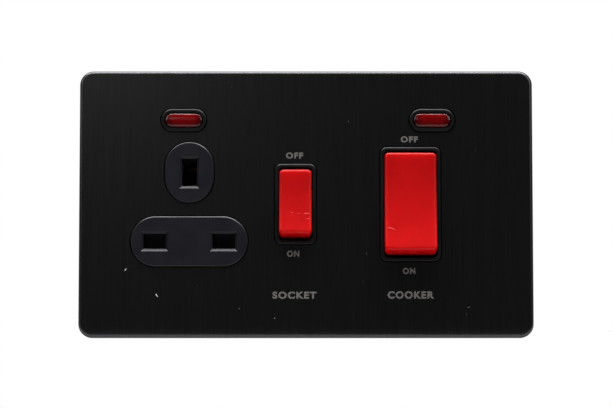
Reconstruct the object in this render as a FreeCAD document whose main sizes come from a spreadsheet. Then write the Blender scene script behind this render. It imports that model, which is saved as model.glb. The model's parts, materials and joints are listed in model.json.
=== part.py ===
import FreeCAD, Part
import math
import os
import re
import Sketcher

# A cooker control unit for a two-gang wall box: a clip-on plate over a moulded carrier with a
# three-pin socket, its switch, a two-pole cooker switch and two neon indicators.
# Frame: X to the right, Z up, the front faces -Y. The wall is the plane y = 0.
# A height is measured out of the wall, towards the front. Lengths in mm, angles in degrees.

SIZES = {
    # Face plate
    "plate_width": 146.0,
    "plate_height": 86.0,
    "plate_corner": 4.5,
    "plate_depth": 6.5,
    "plate_sheet": 1.0,
    "plate_edge": 1.2,
    "plate_lift": 0.6,
    "window_gap": 0.35,
    # Carrier
    "frame_gap": 0.3,
    "frame_wall": 1.8,
    "panel_sheet": 2.0,
    "panel_relief": 0.2,
    "insert_rise": 0.4,
    "insert_edge": 0.3,
    "nib_length": 4.0,
    "nib_gap": 0.05,
    "rib_sheet": 1.2,
    "fixing_pitch": 120.6,
    "fixing_radius": 2.1,
    "fixing_recess": 7.2,
    "fixing_seat": 2.4,
    "fixing_boss": 9.6,
    # Socket insert
    "socket_x": -37.5,
    "earth_pin_z": 10.2,
    "pin_pitch": 22.2,
    "earth_pod_width": 15.7,
    "earth_pod_height": 19.5,
    "live_pod_width": 37.6,
    "live_pod_height": 16.0,
    "slot_width": 4.8,
    "earth_slot_length": 8.8,
    "live_slot_length": 7.2,
    "slot_chamfer": 0.8,
    "chute_wall": 1.2,
    "chute_depth": 5.9,
    "insert_fit": 0.1,
    "snap_lip": 0.7,
    "snap_sheet": 1.2,
    "snap_length": 5.0,
    # Rockers
    "rocker_swing": 13.0,
    "rocker_pivot": 1.5,
    "rocker_rise": 0.6,
    "rocker_gap": 0.3,
    "rocker_shoulder": 3.3,
    "rocker_skirt": 2.0,
    "rocker_draft": 12.0,
    "rocker_dish": 0.75,
    "rocker_corner": 1.4,
    "rocker_edge": 1.0,
    "rocker_wall": 1.6,
    "rocker_crown": 2.4,
    "socket_rocker_x": -3.4,
    "socket_rocker_width": 10.5,
    "socket_rocker_length": 23.2,
    "cooker_rocker_x": 33.6,
    "cooker_rocker_width": 16.7,
    "cooker_rocker_length": 34.0,
    "bezel_wall": 1.0,
    "bezel_corner": 2.0,
    "well_wall": 1.4,
    "well_drop": 4.5,
    "trunnion_radius": 1.5,
    "trunnion_length": 1.5,
    "trunnion_fit": 0.05,
    # Switch poles
    "pole_pitch": 9.0,
    "plunger_width": 3.6,
    "plunger_fit": 0.08,
    "plunger_reach": 11.0,
    "plunger_length": 7.5,
    "plunger_nose": 1.7,
    "stem_wall": 1.2,
    "stem_drop": 7.5,
    "spring_wire": 0.5,
    "arm_sheet": 1.6,
    "arm_width": 6.0,
    "arm_half": 12.5,
    "arm_tilt": 8.45,
    "arm_gap": 0.25,
    "saddle_radius": 0.9,
    "saddle_fit": 0.08,
    "saddle_foot": 0.8,
    "tip_half": 1.8,
    "tip_sheet": 1.0,
    "tip_offset": 10.2,
    "tip_gap": 0.12,
    # Brass strips
    "strip_sheet": 1.0,
    "strip_width": 6.0,
    "strip_space": 2.5,
    "strip_gap": 0.2,
    "link_width": 5.0,
    "link_space": 1.0,
    # Rear base
    "base_side_gap": 0.7,
    "base_top_gap": 0.95,
    "base_corner": 3.0,
    "base_wall": 1.6,
    "base_edge": 1.0,
    "shelf_depth": 13.5,
    "core_height": 36.0,
    "base_depth": 31.0,
    "base_floor": 2.0,
    "divider_sheet": 1.4,
    "divider_drop": 12.5,
    "barrier_front": 6.5,
    # Clamp terminals
    "terminal_pitch": 11.0,
    "block_width": 9.0,
    "block_depth": 11.0,
    "block_length": 12.0,
    "block_gap": 0.4,
    "bore_radius": 3.25,
    "bore_depth": 10.0,
    "bore_inset": 5.0,
    "clamp_radius": 2.0,
    "clamp_inset": 5.0,
    # Pin contacts
    "leaf_sheet": 0.8,
    "leaf_grip": 3.4,
    "leaf_flare": 5.2,
    "leaf_lip": 3.2,
    "live_leaf_width": 5.6,
    "earth_leaf_width": 7.0,
    "chamber_wall": 1.2,
    "chamber_gap": 0.3,
    # Safety shutter
    "shutter_gap": 0.4,
    "shutter_sheet": 2.0,
    "shutter_lap": 0.5,
    "shutter_arm": 3.6,
    "shutter_guide": 0.25,
    "ramp_rise": 5.6,
    "ramp_sheet": 2.0,
    "shutter_spring_length": 11.6,
    "shutter_spring_radius": 1.6,
    # Neon indicators
    "neon_z": 27.05,
    "socket_neon_x": -39.4,
    "cooker_neon_x": 40.6,
    "neon_bezel_length": 14.5,
    "neon_bezel_height": 7.2,
    "lens_length": 12.4,
    "lens_height": 4.8,
    "lens_fit": 0.1,
    "lens_sink": 0.3,
    "lens_edge": 0.8,
    "lens_flange": 1.0,
    "lens_flange_sheet": 1.2,
    "lamp_radius": 2.0,
    "lamp_length": 11.0,
    "lamp_gap": 0.2,
    "prong_sheet": 1.2,
    "prong_space": 5.2,
    "prong_drop": 1.0,
    # Bosses that hold the base
    "boss_x": 16.0,
    "boss_z": 27.0,
    "boss_width": 6.4,
}

FORMULAS = {
    "panel_front": "plate_depth - plate_sheet - panel_relief",
    "panel_back": "panel_front - panel_sheet",
    "insert_front": "plate_depth + insert_rise",
    "frame_width": "plate_width - 2*plate_sheet - 2*frame_gap",
    "frame_height": "plate_height - 2*plate_sheet - 2*frame_gap",
    "frame_corner": "plate_corner - plate_sheet - frame_gap",
    "live_pin_z": "earth_pin_z - pin_pitch",
    "chute_end": "insert_front - chute_depth",
    "shutter_front": "chute_end - shutter_gap",
    "shutter_back": "shutter_front - shutter_sheet",
    "bar_height": "slot_width + 2*shutter_lap",
    "spring_seat": "live_pin_z - bar_height/2 - shutter_spring_length",
    "well_back": "rocker_pivot - well_drop",
    "rocker_tilt": "rocker_swing/2",
    "rocker_face": "insert_front + rocker_rise - rocker_pivot",
    "face_middle": "rocker_face/cos(rocker_tilt)",
    "bore_top": "face_middle - rocker_crown",
    "plunger_top": "plunger_length - plunger_reach",
    "arm_axis": "rocker_pivot - plunger_reach - arm_gap - arm_sheet",
    "tip_drop": "tip_sheet*cos(arm_tilt) + (tip_offset + tip_half)*sin(arm_tilt)",
    "fixed_tip_front": "arm_axis - tip_drop - tip_gap",
    "arm_stop": "arm_axis - arm_half*sin(arm_tilt) - tip_gap",
    "load_strip": "fixed_tip_front - tip_sheet",
    "supply_strip": "load_strip - strip_sheet - strip_space",
    "live_link_front": "supply_strip - strip_sheet",
    "socket_strip": "live_link_front - strip_sheet",
    "neutral_link_front": "socket_strip - strip_sheet - strip_space",
    "live_pole_x": "cooker_rocker_x - pole_pitch/2",
    "neutral_pole_x": "cooker_rocker_x + pole_pitch/2",
    "live_block_x": "cooker_rocker_x - terminal_pitch/2",
    "neutral_block_x": "cooker_rocker_x + terminal_pitch/2",
    "live_pin_x": "socket_x + pin_pitch/2",
    "neutral_pin_x": "socket_x - pin_pitch/2",
    "shutter_reach": "pin_pitch/2 + live_slot_length/2 + shutter_lap",
    "base_width": "2*(shutter_reach - socket_x + base_side_gap + base_wall)",
    "base_height": "2*(neon_z + lens_height/2 + lens_flange + base_top_gap + base_wall)",
    "core_inner": "core_height/2 - base_wall",
    "shelf_front": "base_wall - shelf_depth",
    "floor_front": "base_floor - base_depth",
    "block_inner": "core_height/2 + block_gap",
    "block_back": "-shelf_depth - block_depth",
    "bore_axis": "-shelf_depth - bore_inset",
    "supply_bed_end": "saddle_radius + saddle_foot",
    "live_chamber_front": "shutter_back - chamber_gap",
    "earth_chamber_front": "shutter_front - ramp_rise - chamber_gap",
    "clip_width": "leaf_flare + 2*leaf_sheet",
    "flange_back": "panel_back - lens_flange_sheet",
    "lamp_axis": "flange_back - lamp_gap - lamp_radius",
    "seat_reach": "shutter_spring_radius + spring_wire",
    "link_low": "supply_bed_end + link_space",
    "link_high": "link_low + link_width",
}

FRONT = "XZ_Plane"
SIDE = "YZ_Plane"
TOP = "XY_Plane"
BOTH = (-1, 1)
ROCKERS = ("socket_rocker", "cooker_rocker")
NEONS = ("socket_neon_x", "cooker_neon_x")
ORIGIN = -1
TINY = 1e-4
COIL_SIDES = 6
PLUNGER_COILS = 3
SHUTTER_COILS = 4

doc = FreeCAD.newDocument("CookerControlUnit")
sheet = doc.addObject("Spreadsheet::Sheet", "Sizes")
for row, (name, size) in enumerate(SIZES.items(), start=1):
    sheet.set("A%d" % row, name)
    sheet.set("B%d" % row, str(size))
    sheet.setAlias("B%d" % row, name)
doc.recompute()


def formula(text):
    """Spells out a formula in the sheet's own names."""
    def spell(match):
        name = match.group(0)
        if name in SIZES:
            return "Sizes." + name
        if name in FORMULAS:
            return "(" + formula(FORMULAS[name]) + ")"
        return name
    return re.sub(r"[a-z_]+", spell, str(text))


def value(text):
    """The present value of a formula."""
    return float(sheet.evalExpression(formula(text)))


def bind(owner, prop, text):
    owner.setExpression(prop, formula(text))


def constrain(sketch, name, constraint, text):
    index = sketch.addConstraint(constraint)
    sketch.renameConstraint(index, name)
    bind(sketch, "Constraints." + name, text)


def circle(radius):
    def draw(sketch, name, anchor, middle):
        size = value(radius)
        outline = Part.Circle(FreeCAD.Vector(*middle, 0), FreeCAD.Vector(0, 0, 1), size)
        ring = sketch.addGeometry(outline)
        sketch.addConstraint(Sketcher.Constraint("Coincident", ring, 3, *anchor))
        constrain(sketch, name + "radius", Sketcher.Constraint("Radius", ring, size), radius)
    return draw


def add_lines(sketch, middle, spots):
    """Draws a closed row of lines through spots around a middle, and joins their ends."""
    corners = [FreeCAD.Vector(middle[0] + x, middle[1] + y, 0) for x, y in spots]
    following = corners[1:] + corners[:1]
    lines = [sketch.addGeometry(Part.LineSegment(*ends)) for ends in zip(corners, following)]
    for this, after in zip(lines, lines[1:] + lines[:1]):
        sketch.addConstraint(Sketcher.Constraint("Coincident", this, 2, after, 1))
    return lines


def polygon(points):
    """A straight-sided outline through points given as pairs of formulas."""
    def draw(sketch, name, anchor, middle):
        spots = [(value(across), value(up)) for across, up in points]
        lines = add_lines(sketch, middle, spots)
        for index, (spot, texts) in enumerate(zip(spots, points)):
            for kind, size, text in zip(("DistanceX", "DistanceY"), spot, texts):
                distance = Sketcher.Constraint(kind, *anchor, lines[index], 1, size)
                constrain(sketch, "%s%s%d" % (name, kind, index), distance, text)
    return draw


def rectangle(width, height):
    def draw(sketch, name, anchor, middle):
        right, top = value(width) / 2, value(height) / 2
        lines = add_lines(sketch, middle, [(-right, top), (right, top), (right, -top), (-right, -top)])
        for side, direction in zip(lines, ("Horizontal", "Vertical", "Horizontal", "Vertical")):
            sketch.addConstraint(Sketcher.Constraint(direction, side))
        sketch.addConstraint(Sketcher.Constraint("Symmetric", lines[0], 1, lines[2], 1, *anchor))
        across = Sketcher.Constraint("DistanceX", lines[0], 1, lines[0], 2, 2 * right)
        constrain(sketch, name + "width", across, width)
        upward = Sketcher.Constraint("DistanceY", lines[1], 2, lines[1], 1, 2 * top)
        constrain(sketch, name + "height", upward, height)
    return draw


def add_line(sketch, middle, start, end):
    ends = [FreeCAD.Vector(middle[0] + x, middle[1] + y, 0) for x, y in (start, end)]
    return sketch.addGeometry(Part.LineSegment(*ends))


def add_arc(sketch, middle, centre, radius, start, end):
    spot = FreeCAD.Vector(middle[0] + centre[0], middle[1] + centre[1], 0)
    ring = Part.Circle(spot, FreeCAD.Vector(0, 0, 1), radius)
    return sketch.addGeometry(Part.ArcOfCircle(ring, math.radians(start), math.radians(end)))


def rounded(width, height, corner):
    """A rectangle with four equal round corners."""
    def draw(sketch, name, anchor, middle):
        right, top, radius = value(width) / 2, value(height) / 2, value(corner)
        x, y = right - radius, top - radius
        upper = add_line(sketch, middle, (-x, top), (x, top))
        far = add_line(sketch, middle, (right, y), (right, -y))
        lower = add_line(sketch, middle, (x, -top), (-x, -top))
        near = add_line(sketch, middle, (-right, -y), (-right, y))
        places = [((x, y), 0), ((x, -y), 270), ((-x, -y), 180), ((-x, y), 90)]
        arcs = [add_arc(sketch, middle, place, radius, turn, turn + 90) for place, turn in places]
        sides = [upper, far, lower, near]
        for side, turn, after in zip(sides, arcs, sides[1:] + sides[:1]):
            sketch.addConstraint(Sketcher.Constraint("Tangent", side, 2, turn, 2))
            sketch.addConstraint(Sketcher.Constraint("Tangent", turn, 1, after, 1))
        for side, direction in zip(sides, ("Horizontal", "Vertical", "Horizontal", "Vertical")):
            sketch.addConstraint(Sketcher.Constraint(direction, side))
        for other in arcs[1:]:
            sketch.addConstraint(Sketcher.Constraint("Equal", arcs[0], other))
        sketch.addConstraint(Sketcher.Constraint("Symmetric", arcs[0], 3, arcs[2], 3, *anchor))
        across = Sketcher.Constraint("DistanceX", near, 1, far, 1, 2 * right)
        constrain(sketch, name + "width", across, width)
        upward = Sketcher.Constraint("DistanceY", lower, 1, upper, 1, 2 * top)
        constrain(sketch, name + "height", upward, height)
        constrain(sketch, name + "corner", Sketcher.Constraint("Radius", arcs[0], radius), corner)
    return draw


def stadium(length, width, upright=False):
    """A slot outline with two half-round ends, lying or upright."""
    def draw(sketch, name, anchor, middle):
        radius = value(width) / 2
        reach = value(length) / 2 - radius
        if upright:
            left = add_line(sketch, middle, (-radius, -reach), (-radius, reach))
            end = add_arc(sketch, middle, (0, reach), radius, 0, 180)
            right = add_line(sketch, middle, (radius, reach), (radius, -reach))
            start = add_arc(sketch, middle, (0, -reach), radius, 180, 360)
        else:
            left = add_line(sketch, middle, (-reach, radius), (reach, radius))
            end = add_arc(sketch, middle, (reach, 0), radius, -90, 90)
            right = add_line(sketch, middle, (reach, -radius), (-reach, -radius))
            start = add_arc(sketch, middle, (-reach, 0), radius, 90, 270)
        joints = [(left, 2, end, 2), (end, 1, right, 1), (right, 2, start, 2), (start, 1, left, 1)]
        for joint in joints:
            sketch.addConstraint(Sketcher.Constraint("Tangent", *joint))
        for side in (left, right):
            sketch.addConstraint(Sketcher.Constraint("Vertical" if upright else "Horizontal", side))
        sketch.addConstraint(Sketcher.Constraint("Symmetric", end, 3, start, 3, *anchor))
        kind = "DistanceY" if upright else "DistanceX"
        ends = Sketcher.Constraint(kind, start, 3, end, 3, 2 * reach)
        constrain(sketch, name + "reach", ends, "(%s) - (%s)" % (length, width))
        bend = Sketcher.Constraint("Radius", end, radius)
        constrain(sketch, name + "radius", bend, "(%s)/2" % width)
    return draw


class Piece:
    """One piece of the unit, with its own place, built up feature by feature.

    A shape is an outline with the place of its middle on the plane: (outline, across, up).
    """

    def __init__(self, label, x="0", height="0", z="0", turn=None):
        self.body = doc.addObject("PartDesign::Body", label)
        self.body.Label = label
        place(self.body, x, height, z, turn)
        self.planes = {plane.Role: plane for plane in self.body.Origin.OriginFeatures}
        pieces.append(self.body)

    def sketch(self, plane, level, shapes):
        sketch = self.body.newObject("Sketcher::SketchObject", "Sketch")
        sketch.AttachmentSupport = [(self.planes[plane], "")]
        sketch.MapMode = "FlatFace"
        bind(sketch, "AttachmentOffset.Base.z", level)
        for count, (outline, across, up) in enumerate(shapes):
            name = "Shape%d" % count
            middle = (value(across), value(up))
            point = sketch.addGeometry(Part.Point(FreeCAD.Vector(*middle, 0)), True)
            for kind, size, text in zip(("DistanceX", "DistanceY"), middle, (across, up)):
                distance = Sketcher.Constraint(kind, ORIGIN, 1, point, 1, size)
                constrain(sketch, name + "Middle" + kind, distance, text)
            outline(sketch, name, (point, 1), middle)
        return sketch

    def pad(self, plane, low, high, *shapes):
        """Adds shapes as prisms between two levels of a plane."""
        sketch = self.sketch(plane, low, shapes)
        feature = self.body.newObject("PartDesign::Pad", "Pad")
        feature.Profile = sketch
        bind(feature, "Length", "(%s) - (%s)" % (high, low))

    def cut(self, plane, low, high, *shapes):
        """Takes shapes away as prisms between two levels of a plane."""
        sketch = self.sketch(plane, high, shapes)
        feature = self.body.newObject("PartDesign::Pocket", "Pocket")
        feature.Profile = sketch
        bind(feature, "Length", "(%s) - (%s)" % (high, low))

    def dress(self, kind, size_name, test, size):
        """Rounds or bevels the edges that pass a test."""
        self.body.Tip.recompute(True)
        shape = self.body.Tip.Shape
        names = ["Edge%d" % count for count, edge in enumerate(shape.Edges, start=1) if test(edge)]
        base = (self.body.Tip, names)
        feature = self.body.newObject("PartDesign::" + kind, kind)
        feature.Base = base
        bind(feature, size_name, size)

    def fillet(self, test, radius):
        self.dress("Fillet", "Radius", test, radius)

    def chamfer(self, test, size):
        self.dress("Chamfer", "Size", test, size)


def place(item, x, height, z, turn=None):
    """Puts an item in the frame, turned about X if asked."""
    if turn:
        turned = FreeCAD.Rotation(FreeCAD.Vector(1, 0, 0), value(turn))
        item.Placement = FreeCAD.Placement(FreeCAD.Vector(), turned)
        bind(item, "Placement.Rotation.Angle", turn)
    bind(item, "Placement.Base.x", x)
    bind(item, "Placement.Base.y", "-(%s)" % height)
    bind(item, "Placement.Base.z", z)


def at_height(height):
    """Picks the edges that lie flat at one height."""
    level = -value(height)
    return lambda edge: max(abs(edge.BoundBox.YMin - level), abs(edge.BoundBox.YMax - level)) < TINY


def block(left, right, bottom, top):
    """A rectangle between four limits."""
    outline = rectangle("(%s) - (%s)" % (right, left), "(%s) - (%s)" % (top, bottom))
    return outline, "((%s) + (%s))/2" % (left, right), "((%s) + (%s))/2" % (bottom, top)


def strip_at(x, width, bottom, top):
    """A rectangle of a given width, centred on x."""
    return block("%s - (%s)/2" % (x, width), "%s + (%s)/2" % (x, width), bottom, top)


def pods(gap):
    """The two faces of the socket with a gap around them."""
    more = " + 2*" + gap
    earth_pod = stadium("earth_pod_height" + more, "earth_pod_width" + more, upright=True)
    live_pod = stadium("live_pod_width" + more, "live_pod_height" + more)
    return [(earth_pod, "socket_x", "earth_pin_z"), (live_pod, "socket_x", "live_pin_z")]


def bezels(gap):
    """The rims around the rockers and the neon lenses with a gap around them."""
    more = " + 2*" + gap
    around = " + 2*rocker_gap + 2*bezel_wall" + more
    shapes = []
    for name in ROCKERS:
        outline = rounded(name + "_width" + around, name + "_length" + around, "bezel_corner + " + gap)
        shapes.append((outline, name + "_x", "0"))
    for x in NEONS:
        shapes.append((stadium("neon_bezel_length" + more, "neon_bezel_height" + more), x, "neon_z"))
    return shapes


def pin_slots(wall):
    """The earth, live and neutral slots with a wall around them."""
    around = " + 2*" + wall
    upright = rectangle("slot_width" + around, "earth_slot_length" + around)
    lying = rectangle("live_slot_length" + around, "slot_width" + around)
    return [
        (upright, "socket_x", "earth_pin_z"),
        (lying, "live_pin_x", "live_pin_z"),
        (lying, "neutral_pin_x", "live_pin_z"),
    ]


def insert_stem(gap):
    """The T-shaped neck of the socket insert, where it passes through the panel, with a gap around it."""
    reach = "(pin_pitch + live_slot_length)/2 + chute_wall + " + gap
    side = "slot_width/2 + chute_wall + " + gap
    top = "pin_pitch + earth_slot_length/2 + chute_wall + " + gap
    right = [(reach, "-(%s)" % side), (reach, side), (side, side), (side, top)]
    outline = polygon(right + [("-(%s)" % across, up) for across, up in reversed(right)])
    return outline, "socket_x", "live_pin_z"


def face_plate():
    piece = Piece("face_plate")
    outside = rounded("plate_width", "plate_height", "plate_corner")
    less = " - 2*plate_sheet"
    inside = rounded("plate_width" + less, "plate_height" + less, "plate_corner - plate_sheet")
    piece.pad(FRONT, "plate_lift", "plate_depth", (outside, "0", "0"))
    piece.fillet(at_height("plate_depth"), "plate_edge")
    piece.cut(FRONT, "plate_lift", "plate_depth - plate_sheet", (inside, "0", "0"))
    piece.cut(FRONT, "plate_lift", "plate_depth", *pods("window_gap"), *bezels("window_gap"))


def carrier_shell(piece):
    """The tray behind the plate, with the nibs that grip the plate's rim."""
    outside = rounded("frame_width", "frame_height", "frame_corner")
    inside = rectangle("frame_width - 2*frame_wall", "frame_height - 2*frame_wall")
    piece.pad(FRONT, "0", "panel_front", (outside, "0", "0"))
    piece.cut(FRONT, "0", "panel_back", (inside, "0", "0"))
    proud = "(frame_gap - nib_gap)"
    nibs = []
    for spot in BOTH:
        x, z = "%d*frame_width/4" % spot, "%d*frame_height/4" % spot
        low, high = "frame_height/2 - frame_wall", "frame_height/2 + " + proud
        nibs.append(strip_at(x, "nib_length", low, high))
        nibs.append(strip_at(x, "nib_length", "-(%s)" % high, "-(%s)" % low))
        low, high = z + " - nib_length/2", z + " + nib_length/2"
        nibs.append(block("frame_width/2 - frame_wall", "frame_width/2 + " + proud, low, high))
        nibs.append(block("-frame_width/2 - " + proud, "frame_wall - frame_width/2", low, high))
    piece.pad(FRONT, "plate_lift", "panel_front", *nibs)


def carrier_ribs(piece):
    """The seat of the shutter's spring, and stiffeners between the base and the rim."""
    seat = strip_at("socket_x", "2*seat_reach", "spring_seat - rib_sheet", "spring_seat")
    piece.pad(FRONT, "(shutter_front + shutter_back)/2 - seat_reach", "panel_front", seat)
    ribs = []
    for side in BOTH:
        ends = ("%d*(base_height/2 + block_gap)" % side, "%d*frame_height/2" % side)
        limits = sorted(ends, key=value)
        for eighths in (-3, -1, 1, 3):
            ribs.append(strip_at("frame_width*%d/8" % eighths, "rib_sheet", *limits))
        ends = ("%d*(base_width/2 + block_gap)" % side, "%d*frame_width/2" % side)
        limits = sorted(ends, key=value)
        for spot in BOTH:
            middle = "%d*frame_height/5" % spot
            ribs.append(block(*limits, middle + " - rib_sheet/2", middle + " + rib_sheet/2"))
    piece.pad(FRONT, "plate_lift", "panel_front", *ribs)


def carrier_bosses(piece):
    """Bosses for the two wall-box screws, and two that the base is screwed to."""
    ends = ["%d*fixing_pitch/2" % side for side in BOTH]
    boss = rectangle("fixing_boss", "fixing_boss")
    piece.pad(FRONT, "0", "panel_front", *[(boss, x, "0") for x in ends])
    recess = rectangle("fixing_recess", "fixing_recess")
    piece.cut(FRONT, "fixing_seat", "panel_front", *[(recess, x, "0") for x in ends])
    hole = circle("fixing_radius")
    piece.cut(FRONT, "0", "fixing_seat", *[(hole, x, "0") for x in ends])
    boss = rectangle("boss_width", "boss_width")
    corners = [(boss, "-%d*boss_x" % side, "%d*boss_z" % side) for side in BOTH]
    piece.pad(FRONT, "shelf_front", "panel_front", *corners)


def carrier_wells(piece):
    """Rocker wells, each with two trunnion slots that open to the rear."""
    walls, openings = [], []
    for name in ROCKERS:
        width, length = name + "_width + 2*rocker_gap", name + "_length + 2*rocker_gap"
        wall = rectangle(width + " + 2*well_wall", length + " + 2*well_wall")
        walls.append((wall, name + "_x", "0"))
        opening = rounded(width, length, "rocker_corner + rocker_gap")
        openings.append((opening, name + "_x", "0"))
    piece.pad(FRONT, "well_back", "panel_front", *walls)
    piece.cut(FRONT, "well_back", "insert_front", *openings)
    slot = stadium("2*well_drop + 2*trunnion_radius", "2*(trunnion_radius + trunnion_fit)")
    middle = "well_drop - trunnion_fit - rocker_pivot"
    for name in ROCKERS:
        reach = "(%s_width/2 + rocker_gap + well_wall)" % name
        low, high = "%s_x - %s" % (name, reach), "%s_x + %s" % (name, reach)
        piece.cut(SIDE, low, high, (slot, middle, "0"))


def front_moulding():
    piece = Piece("front_moulding")
    carrier_shell(piece)
    carrier_ribs(piece)
    carrier_bosses(piece)
    piece.pad(FRONT, "panel_back", "insert_front", *bezels("0"))
    piece.chamfer(at_height("insert_front"), "insert_edge")
    carrier_wells(piece)
    window = stadium("lens_length + 2*lens_fit", "lens_height + 2*lens_fit")
    piece.cut(FRONT, "panel_back", "insert_front", *[(window, x, "neon_z") for x in NEONS])
    piece.cut(FRONT, "panel_back", "panel_front", insert_stem("insert_fit"))


def insert_hold(piece):
    """Lips that snap behind the panel, and the shutter's guides."""
    outer = "live_pin_z - slot_width/2 - chute_wall - snap_lip"
    lower = strip_at("socket_x", "snap_length", outer, "live_pin_z")
    wall = "earth_pin_z + earth_slot_length/2"
    upper = strip_at("socket_x", "snap_length", wall, wall + " + chute_wall + snap_lip")
    piece.pad(FRONT, "panel_back - snap_sheet", "panel_back", lower, upper)
    bottom = "live_pin_z + bar_height/2 + shutter_guide"
    top = "earth_pin_z - earth_slot_length/2 - chute_wall - shutter_guide"
    off = "(shutter_arm/2 + shutter_guide + rib_sheet/2)"
    guides = [strip_at("socket_x + %d*%s" % (side, off), "rib_sheet", bottom, top) for side in BOTH]
    piece.pad(FRONT, "shutter_back", "panel_back", *guides)


def socket_insert():
    """The socket's two faces on one neck, with a chute and a lead-in chamfer for each pin slot."""
    piece = Piece("socket_insert")
    piece.pad(FRONT, "panel_back", "panel_front", insert_stem("0"))
    piece.pad(FRONT, "panel_front", "insert_front", *pods("0"))
    piece.chamfer(at_height("insert_front"), "insert_edge")
    piece.pad(FRONT, "chute_end", "panel_back", *pin_slots("chute_wall"))
    insert_hold(piece)
    piece.cut(FRONT, "chute_end", "insert_front", *pin_slots("0"))
    front = at_height("insert_front")
    sides = [value(name) for name in ("slot_width", "earth_slot_length", "live_slot_length")]

    def lead_in(edge):
        return front(edge) and min(abs(edge.Length - side) for side in sides) < TINY
    piece.chamfer(lead_in, "slot_chamfer")


def base_shell(piece):
    """Wings that rest on the carrier, and the deeper box between them."""
    outer = rounded("base_width", "base_height", "base_corner")
    inner = rectangle("base_width - 2*base_wall", "base_height - 2*base_wall")
    core = rounded("base_width", "core_height", "base_corner")
    room = rectangle("base_width - 2*base_wall", "core_height - 2*base_wall")
    piece.pad(FRONT, "-shelf_depth", "panel_back", (outer, "0", "0"))
    piece.pad(FRONT, "-base_depth", "-shelf_depth", (core, "0", "0"))
    piece.chamfer(at_height("-base_depth"), "base_edge")
    piece.cut(FRONT, "shelf_front", "panel_back", (inner, "0", "0"))
    piece.cut(FRONT, "floor_front", "shelf_front", (room, "0", "0"))


def base_bays(piece):
    """Ribs between the terminal bays."""
    reach = "(block_width/2 + block_gap + divider_sheet/2)"
    cooker = ["live_block_x - " + reach, "cooker_rocker_x", "neutral_block_x + " + reach]
    earth = ["socket_x - " + reach, "socket_x + " + reach]
    inner = "core_height/2 - base_wall/2"
    ribs = [strip_at(x, "divider_sheet", inner, "base_height/2") for x in cooker + earth]
    ribs += [strip_at(x, "divider_sheet", "-base_height/2", "-(%s)" % inner) for x in cooker]
    piece.pad(FRONT, "-shelf_depth - divider_drop", "-shelf_depth", *ribs)


def base_chambers(piece):
    """Wells that hold the three pin contacts."""
    deep = "clip_width + 2*chamber_gap"
    wall = " + 2*chamber_wall"
    earth = (deep, "earth_leaf_width + 2*chamber_gap")
    live = ("live_leaf_width + 2*chamber_gap", deep)
    live_pins = ("live_pin_x", "neutral_pin_x")
    outer = rectangle(earth[0] + wall, earth[1] + wall)
    piece.pad(FRONT, "floor_front", "earth_chamber_front", (outer, "socket_x", "earth_pin_z"))
    outer = rectangle(live[0] + wall, live[1] + wall)
    walls = [(outer, x, "live_pin_z") for x in live_pins]
    piece.pad(FRONT, "floor_front", "live_chamber_front", *walls)
    room = (rectangle(*earth), "socket_x", "earth_pin_z")
    piece.cut(FRONT, "live_link_front - strip_sheet", "earth_chamber_front", room)
    for x, back in zip(live_pins, ("socket_strip - strip_sheet", "neutral_link_front")):
        piece.cut(FRONT, back, "live_chamber_front", (rectangle(*live), x, "live_pin_z"))


def base_beds(piece):
    """Pillars under the strips, stops for the contact arms and a wall between the cooker poles."""
    wide = "strip_width + 2*strip_gap"
    cooker_poles = ("live_pole_x", "neutral_pole_x")
    supply = [strip_at(x, wide, "-core_inner/2", "supply_bed_end") for x in cooker_poles]
    piece.pad(FRONT, "floor_front", "supply_strip - strip_sheet", *supply)
    load = [strip_at(x, wide, "link_high + strip_gap", "core_inner") for x in cooker_poles]
    piece.pad(FRONT, "floor_front", "load_strip - strip_sheet", *load)
    bed = strip_at("socket_rocker_x", wide, "-core_inner", "supply_bed_end")
    piece.pad(FRONT, "floor_front", "socket_strip - strip_sheet", bed)
    bed = strip_at("socket_rocker_x", wide, "link_low", "tip_offset + tip_half")
    piece.pad(FRONT, "floor_front", "live_link_front - strip_sheet", bed)
    limits = ("-core_inner", "rib_sheet - arm_half")
    stops = [strip_at(x, "arm_width", *limits) for x in cooker_poles + ("socket_rocker_x",)]
    piece.pad(FRONT, "arm_stop - rib_sheet", "arm_stop", *stops)
    barrier = strip_at("cooker_rocker_x", "rib_sheet", "-core_inner", "core_inner")
    piece.pad(FRONT, "floor_front", "-barrier_front", barrier)


def cut_for_strip(piece, front, *shapes):
    piece.cut(FRONT, front + " - strip_sheet", front + " + strip_gap", *shapes)


def base_passages(piece):
    """Openings where the strips pass through walls."""
    wide = "strip_width + 2*strip_gap"
    poles = ("live_pole_x", "neutral_pole_x")
    for front, limits in (
        ("supply_strip", ("-core_height/2", "-core_inner")),
        ("load_strip", ("core_inner", "core_height/2")),
    ):
        cut_for_strip(piece, front, *[strip_at(x, wide, *limits) for x in poles])
    cut_for_strip(piece, "live_link_front", strip_at("socket_x", wide, "earth_pin_z", "core_height/2"))
    low, high = "live_pin_z - link_width/2 - strip_gap", "live_pin_z + link_width/2 + strip_gap"
    cut_for_strip(piece, "socket_strip", block("live_pin_x", "socket_rocker_x", low, high))
    left = "neutral_pin_x - live_leaf_width/2 - chamber_gap"
    right = "neutral_pole_x + strip_width/2 + strip_gap"
    cut_for_strip(piece, "neutral_link_front", block(left, right, low, high))


def rear_base():
    piece = Piece("rear_base")
    base_shell(piece)
    base_bays(piece)
    base_chambers(piece)
    base_beds(piece)
    base_passages(piece)


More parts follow.
